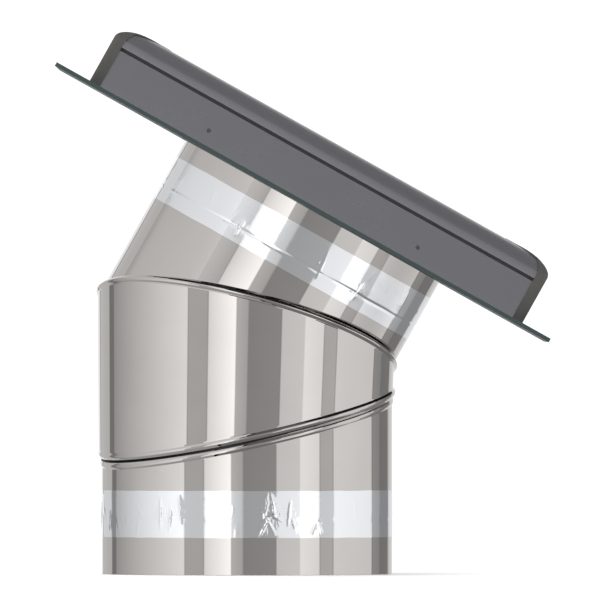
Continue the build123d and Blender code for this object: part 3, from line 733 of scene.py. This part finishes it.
# Small folds by chance: ranges of the same six, but mean and spread of the lean
looseCount = 36
looseFolds = {"azimuth": (-180, 180), "height": (4, 53), "lean": (90, 22), "length": (8, 34),
              "width": (1.2, 2.4), "rise": (0.04, 0.14)}
tapeRows = round(tube["tapeWidth"] / foilTape["grid"])
tapeCount = round(2 * pi * radius / foilTape["grid"])
rowStep = tube["tapeWidth"] / tapeRows
columnStep = 2 * pi * radius / tapeCount


# Every fold is a soft ridge that fades at its ends, and where folds meet they add up
def foldHeights(folds):
    raised = [[0.0] * (tapeRows + 1) for _ in range(tapeCount)]
    for azimuthAt, middle, lean, length, width, rise in folds:
        alongX, alongY = cos(radians(lean)), sin(radians(lean))
        reach = length / 2 + 3 * width
        first = round((radians(azimuthAt) * radius - reach) / columnStep)
        for column in range(first, first + round(2 * reach / columnStep) + 1):
            dx = column * columnStep - radians(azimuthAt) * radius
            for row in range(tapeRows + 1):
                dy = row * rowStep - middle
                alongFold = abs(dx * alongX + dy * alongY) * 2 / length
                acrossFold = (dx * alongY - dy * alongX) / width
                if alongFold < 1 and abs(acrossFold) < 3:
                    ridge = rise * exp(-acrossFold ** 2) * (1 - alongFold ** 2)
                    raised[column % tapeCount][row] += ridge
    return raised


def creasedShare(folds, row, column):  # how much the foil's facets show here
    share = 0.0
    for azimuthAt, middle, _, _, _, rise in folds:
        turned = (column * columnStep / radius - radians(azimuthAt) + pi) % (2 * pi) - pi
        if abs(turned) * radius < 2 * foilTape["reach"]:
            away = (turned * radius) ** 2 + ((row * rowStep - middle) / foilTape["reachLean"]) ** 2
            share = max(share, exp(-2 * (away / foilTape["reach"] ** 2) ** 2) * rise)
    return share


def strayed(way, turn, height):
    far, often = foilTape[way]
    return far * noise.noise(turn * often + vertical * height)


def layTape(name, centre, aside, axis, foot, folds, creaseAt, body, node, seed):
    dice = Random(seed)
    loose = [[dice.gauss(*span) if key == "lean" else dice.uniform(*span)
              for key, span in looseFolds.items()] for _ in range(looseCount)]
    raised = foldHeights(folds + loose)
    outer = radius + foilTape["gap"] + foilTape["thickness"] / 2
    columns = []
    for column in range(tapeCount):
        angle = column * columnStep / radius
        around = aside * sin(angle) - across * cos(angle)
        turn = Vector((sin(angle), cos(angle), 0))
        wander = strayed("wander", turn, seed)
        fray = strayed("fray", turn, seed + 5)
        lapped = (angle * radius - pi * radius) % (2 * pi * radius) < foilTape["overlap"]
        path = []
        for row in range(tapeRows + 1):
            level = row * rowStep
            swell = max(0.0, strayed("swell", turn, level / foilTape["swellHeight"] + seed))
            sunk = (level - creaseAt - wander) / foilTape["creaseWidth"]
            out = outer + min(raised[column][row], foilTape["tallest"]) + swell
            out += (foilTape["thickness"] if lapped else 0.0) - foilTape["crease"] * exp(-sunk ** 2)
            height = foot + level + fray * (1 - row / tapeRows * 2)
            path.append(centre + around * out + axis * height)
        columns.append(path)
    mesh = skinMesh(name, columns, [column * columnStep for column in range(tapeCount + 1)])
    creased = [creasedShare(folds, row, column)
               for row in range(tapeRows + 1) for column in range(tapeCount)]
    mesh.attributes.new("creased", "FLOAT", "POINT").data.foreach_set("value", creased)
    finishPiece(solidSheet(name, mesh, foilTape["thickness"]), foil, body, node, sharp=60.0)


belowJoint = tube["tapeBelowJoint"]
layTape("lowerFoilTape", Vector((0, 0, 0)), Vector((1, 0, 0)), vertical, tube["outlet"] - belowJoint,
        lowerFolds, belowJoint + tube["crimp"] / 2, "lower", "lower_foil_tape", foilTape["seed"])
layTape("upperFoilTape", topCentre, downhill, up, topTapeFoot,
        upperFolds, belowJoint - tube["crimp"] / 2, "head", "upper_foil_tape", foilTape["seed"] + 1)
print("tapes laid")

# Kerb: profiles run round a square frame, sizes in from its outer face and up from the flange
kerb = {
    "half": 298.5,
    "shift": -11.9,
    "shoulder": 61.5,  # a little lower than the solid's, for the softer curve in view
    "crest": 79.6,
    "crestInset": 48.0,
    "wall": 2.0,
    "noseInset": 60.5,
    "noseWidth": 9.0,
    "noseFoot": 74.6,
    "noseCut": 2.0,
    "noseRound": 1.2,
    "noseEdge": 0.4,
    "coverFoot": 54.0,
    "grooveDepth": 4.5,
    "sideTop": 50.0,
    "sideLedge": 5.5,
    "sideWall": 1.2,
    "edge": 0.5,  # the coat rounds every edge
}
kerbOrigin = topCentre + up * (headHeight + tube["flange"]) + downhill * kerb["shift"]
sides = ["front", "lower", "back", "upper"]


def kerbPoint(quarter, along, inset, height):
    turned = pi / 2 * quarter
    right = downhill * cos(turned) + across * sin(turned)
    inwards = across * cos(turned) - downhill * sin(turned)
    return kerbOrigin + right * along + inwards * (inset - kerb["half"]) + up * height


def bullnose(grow, steps, first=90.0, last=0.0):  # quarter ellipse over the shoulder
    wide, tall = kerb["crestInset"] + grow, kerb["crest"] - kerb["shoulder"] + grow
    angles = [radians(first + (last - first) * step / steps) for step in range(steps + 1)]
    return [(kerb["crestInset"] - wide * sin(angle), kerb["shoulder"] + tall * cos(angle))
            for angle in angles]


# Rounds a closed outline: each place is (inset, height) or (inset, height, radius)
def roundedOutline(places, steps=3):
    spots = [Vector(place[:2]) for place in places]
    outline = []
    for place, last, spot, following in zip(places, spots[-1:] + spots, spots, spots[1:] + spots):
        outline += roundedCorner(last, spot, following, place[2], steps) if place[2:] else [spot]
    return outline


def mitredBar(name, quarter, outline, node):
    count = len(outline)
    points = [kerbPoint(quarter, end * (kerb["half"] - place.x), place.x, place.y) * mm
              for end in (-1, 1) for place in outline]
    faces = [(step, (step + 1) % count, count + (step + 1) % count, count + step)
             for step in range(count)]
    faces += [tuple(range(count))[::-1], tuple(range(count, 2 * count))]
    mesh = bpy.data.meshes.new(name)
    mesh.from_pydata(points, [], faces)
    if sum(a.x * b.y - b.x * a.y for a, b in zip(outline, outline[1:] + outline[:1])) > 0:
        mesh.flip_normals()
    shape = bpy.data.objects.new(name, mesh)
    finishPiece(shape, coats["powderCoatedAluminium"], "head", node, sharp=35.0)


# Barbed clip inside the top cover. Its web joins the bullnose between the two turns
clip = {"inset": 9.0, "root": 10.5, "top": 54.7, "foot": 52.6, "barb": 1.1, "tip": 0.75,
        "turns": (54.7, 58.0)}
rounded, wall = kerb["edge"], kerb["wall"]
foot, crest, nose, cut = kerb["coverFoot"], kerb["crest"], kerb["noseInset"], kerb["noseCut"]
noseBack, barbTip = nose - kerb["noseWidth"], clip["inset"] - clip["barb"]
topCoverPlaces = (
    [(0.0, foot, rounded), (0.0, kerb["shoulder"] - 1.0)] + bullnose(0.0, 28)
    + [(nose - cut, crest, kerb["noseRound"]), (nose, crest - cut, kerb["noseRound"]),
       (nose, kerb["noseFoot"], kerb["noseEdge"]), (noseBack, kerb["noseFoot"]),
       (noseBack, crest - wall)]
    + bullnose(-wall, 8, 0.0, clip["turns"][0])
    + [(clip["root"], clip["foot"]), (clip["inset"], clip["foot"]),
       (barbTip, clip["top"] - clip["tip"]), (barbTip, clip["top"]), (clip["inset"], clip["top"])]
    + bullnose(-wall, 6, clip["turns"][1], 90.0)
    + [(wall, foot + wall), (kerb["grooveDepth"], foot + wall), (kerb["grooveDepth"], foot, rounded)]
)
sideTop, ledge, sideWall = kerb["sideTop"], kerb["sideLedge"], kerb["sideWall"]
sideCoverPlaces = [(0.0, 0.0, 0.3), (0.0, sideTop, rounded), (ledge, sideTop),
                   (ledge, sideTop - sideWall), (sideWall, sideTop - sideWall), (sideWall, 0.0)]
for quarter, side in enumerate(sides):
    mitredBar(f"{side}TopCover", quarter, roundedOutline(topCoverPlaces), f"{side}_top_cover")
    mitredBar(f"{side}SideCover", quarter, roundedOutline(sideCoverPlaces), f"{side}_side_cover")
print("covers run")

# Corner caps: moulded shells bent round the mitres, softer on the hip than the solids
cap = {
    "gap": 0.3,
    "wall": 1.5,
    "leg": 14.0,
    "legPlaces": (0, 0.03, 0.5, 0.97),  # shares of a leg
    "turnStep": 10,  # degrees between the columns of the corner's arc
    "tip": 4.0,  # the leg narrows to this where the profile bends over
    "bend": 16.0,  # inset at which it is narrowest
    "plan": 5.0,  # radius of the outer corner
    "hip": 2.0,  # least radius, over the crest
    "inner": 62.3,
    "lip": 1.2,  # rounding of the inner rim
    "glassTop": 71.9,
    "flush": 1.2,  # it sinks this far towards the cover on its way over the crest
    "flushFrom": 22.0,
    "flushRun": 26.0,
    "edge": 0.35,
}
corners = ["upper_front", "lower_front", "lower_back", "upper_back"]
grow = cap["gap"] + cap["wall"]
capTop = crest + grow - cap["flush"]
capProfile = [(-grow, 0.0), (-grow, 22.0), (-grow, 45.0)] + bullnose(grow, 26)
sinking = [min(max(inset - cap["flushFrom"], 0.0) / cap["flushRun"], 1.0) for inset, _ in capProfile]
capProfile = [(inset, height - cap["flush"] * share)
              for (inset, height), share in zip(capProfile, sinking)]
inner, lip, rim = cap["inner"], cap["lip"], cap["edge"]
capProfile += [(inner - lip, capTop), (inner - rim, capTop - rim), (inner, capTop - lip),
               (inner, cap["glassTop"])]


def capRow(quarter, inset, height):
    bend = max(cap["hip"], cap["plan"] - (inset + grow))
    middle = inset + bend  # centre of the corner's arc, in from both faces
    narrowing = min(max(inset / cap["bend"], 0.0), 1.0)
    leg = cap["leg"] + narrowing * (cap["tip"] - cap["leg"])
    legs = [(leg + inset - share * (leg - bend), inset) for share in cap["legPlaces"]]
    arc = [(middle - bend * sin(radians(turn)), middle - bend * cos(radians(turn)))
           for turn in range(0, 91, cap["turnStep"])]
    row = legs + arc + [(inset, along) for along, inset in legs[::-1]]
    return [kerbPoint(quarter, x - kerb["half"], y, height) for x, y in row]


for quarter, cornerName in enumerate(corners):
    rows = [capRow(quarter, inset, height) for inset, height in capProfile]
    columns = [list(column) for column in zip(*rows)][::-1]
    arcs = [float(step) for step in range(len(columns) + 1)]
    mesh = skinMesh(cornerName, columns, arcs, closed=False)
    end, face = cornerName.split("_")
    shell = solidSheet(f"{end}{face.title()}Cap", mesh, cap["wall"], offset=-1.0)
    soft = shell.modifiers.new("edges", "BEVEL")
    soft.width = cap["edge"] * mm
    soft.segments = 2
    soft.limit_method = "ANGLE"
    soft.angle_limit = radians(50)
    node = f"{cornerName}_corner_cap"
    finishPiece(shell, coats["mouldedAsa"], "head", node, sharp=45.0)
print("caps moulded")

screwSizes = {
    "cladding": {"Head Radius": 2.6, "Head Top Radius": 1.8, "Head Height": 1.3, "Shank Radius": 1.45,
                 "Shank Length": 9.0, "Recess Width": 0.55, "Recess Depth": 0.8},
    "collar": {"Head Radius": 3.5, "Head Top Radius": 3.1, "Head Height": 2.0, "Shank Radius": 1.75,
               "Shank Length": 5.5, "Recess Width": 0.8, "Recess Depth": 1.2},
}
screwLines = {"claddingAlong": 145.0, "claddingHeight": 18.0, "collarOut": 10.0, "collarCount": 8}


# Screws: head, cross recess and shank built once and set on their places
def screwTree():
    tree = bpy.data.node_groups.new("screwOnPoint", "GeometryNodeTree")
    kinds = {"Geometry": "Geometry", **{name: "Float" for name in screwSizes["cladding"]},
             "Seed": "Int", "Finish": "Material"}
    for name, kind in kinds.items():
        tree.interface.new_socket(name, in_out="INPUT", socket_type=f"NodeSocket{kind}")
    tree.interface.new_socket("Geometry", in_out="OUTPUT", socket_type="NodeSocketGeometry")
    given = addNode(tree, "NodeGroupInput").outputs
    head = addNode(tree, "GeometryNodeMeshCone", {"Vertices": 24},
                   {"Radius Top": given["Head Top Radius"], "Radius Bottom": given["Head Radius"],
                    "Depth": given["Head Height"]})
    shank = addNode(tree, "GeometryNodeMeshCylinder", {"Vertices": 12},
                    {"Radius": given["Shank Radius"], "Depth": given["Shank Length"]})
    # The shank hangs by half its length. The recess reaches over the head's edge and top
    halfDown, arm, deep = [
        addNode(tree, "ShaderNodeMath", {1: times}, {0: given[size]}, operation="MULTIPLY").outputs[0]
        for size, times in (("Shank Length", -0.5), ("Head Top Radius", 1.1), ("Recess Depth", 2.0))]
    cross = addNode(tree, "GeometryNodeMeshBoolean", operation="UNION")
    for long, short in (("X", "Y"), ("Y", "X")):
        size = addNode(tree, "ShaderNodeCombineXYZ",
                       links={long: arm, short: given["Recess Width"], "Z": deep})
        bar = addNode(tree, "GeometryNodeMeshCube", links={"Size": size.outputs[0]})
        tree.links.new(bar.outputs[0], cross.inputs["Mesh 2"])
    placed = []
    for part, height in ((shank, halfDown), (cross, given["Head Height"])):
        lift = addNode(tree, "ShaderNodeCombineXYZ", links={"Z": height})
        placed.append(addNode(tree, "GeometryNodeTransform", links={
            "Geometry": part.outputs[0], "Translation": lift.outputs[0]}))
    shankPlaced, crossPlaced = placed
    cut = addNode(tree, "GeometryNodeMeshBoolean", operation="DIFFERENCE",
                  links={"Mesh 1": head.outputs[0], "Mesh 2": crossPlaced.outputs[0]})
    whole = addNode(tree, "GeometryNodeJoinGeometry")
    for part in (cut, shankPlaced):
        tree.links.new(part.outputs[0], whole.inputs[0])
    aim = addNode(tree, "GeometryNodeInputNamedAttribute", {"Name": "aim"}, data_type="FLOAT_VECTOR")
    aimed = addNode(tree, "FunctionNodeAlignRotationToVector", links={"Vector": aim.outputs[0]},
                    axis="Z")
    spin = addNode(tree, "FunctionNodeRandomValue", {2: 0.0, 3: 1.57}, {"Seed": given["Seed"]},
                   data_type="FLOAT")  # up to a quarter turn
    about = addNode(tree, "ShaderNodeCombineXYZ", links={"Z": spin.outputs[1]})
    toTurn = addNode(tree, "FunctionNodeEulerToRotation", links={0: about.outputs[0]})
    turned = addNode(tree, "FunctionNodeRotateRotation",
                     links={0: aimed.outputs[0], 1: toTurn.outputs[0]}, rotation_space="LOCAL")
    screws = addNode(tree, "GeometryNodeInstanceOnPoints",
                     links={"Points": given["Geometry"], "Instance": whole.outputs[0],
                            "Rotation": turned.outputs[0]})
    real = addNode(tree, "GeometryNodeRealizeInstances", links={0: screws.outputs[0]})
    painted = addNode(tree, "GeometryNodeSetMaterial",
                      links={"Geometry": real.outputs[0], "Material": given["Finish"]})
    addNode(tree, "NodeGroupOutput", links={0: painted.outputs[0]})
    return tree


screwShape = screwTree()


def driveScrews(name, sizes, places, aims, material, node):
    mesh = bpy.data.meshes.new(name)
    mesh.from_pydata([place * mm for place in places], [], [])
    attribute = mesh.attributes.new("aim", "FLOAT_VECTOR", "POINT")
    attribute.data.foreach_set("vector", [number for aim in aims for number in aim])
    shape = bpy.data.objects.new(name, mesh)
    screws = shape.modifiers.new("screws", "NODES")
    screws.node_group = screwShape
    sockets = {item.name: item.identifier for item in screwShape.interface.items_tree
               if item.in_out == "INPUT"}
    for key, value in sizes.items():
        screws[sockets[key]] = value * mm
    screws[sockets["Seed"]] = len(places)
    screws[sockets["Finish"]] = material
    finishPiece(shape, material, "head", node, sharp=30.0)


claddingPlaces, claddingAims = [], []
for quarter in range(4):
    outwards = (kerbPoint(quarter, 0, 0, 0) - kerbPoint(quarter, 0, 1, 0)).normalized()
    for along in (-screwLines["claddingAlong"], screwLines["claddingAlong"]):
        claddingPlaces.append(kerbPoint(quarter, along, 0.0, screwLines["claddingHeight"]))
        claddingAims.append(outwards)
collarCount = screwLines["collarCount"]
turns = [2 * pi / collarCount * step for step in range(collarCount)]
collarPlaces = [topCentre + up * (collarHeight + tube["sheet"])
                + (downhill * cos(turn) + across * sin(turn)) * (radius + screwLines["collarOut"])
                for turn in turns]
driveScrews("claddingScrews", screwSizes["cladding"], claddingPlaces, claddingAims,
            coats["coatedScrewSteel"], "cladding_screws")
driveScrews("collarScrews", screwSizes["collar"], collarPlaces, [up] * collarCount,
            coats["platedScrewSteel"], "collar_screws")
print("screws driven")

# The solids that keep their CAD shape
dressed = {
    "mouldedPolypropylene": ["roof_flange"],
    "floatGlass": ["outer_pane", "inner_pane"],
    "rolledStainless": ["spacer_bar"],
    "blackButyl": ["edge_sealant"],
    "extrudedEpdm": ["seat_gasket", "cover_gasket"],
    "closedCellFoam": ["kerb_seal", "tube_seal"],
    "whiteEnamelledSheet": ["reflector_plate"],
    "platedScrewSteel": ["flange_screws"],
    "extrudedPvc": [f"{side}_base_rail" for side in sides],
    "castZinc": [f"{name}_corner_cleat" for name in corners],
}
for coat, nodeNames in dressed.items():
    for nodeName in nodeNames:
        mesh = frame["nodes"][nodeName].data
        mesh.materials.clear()
        mesh.materials.append(coats[coat])
frame["nodes"]["roof_flange"].visible_glossy = False  # kept off the tube, as a studio's flag would
print("solids dressed")
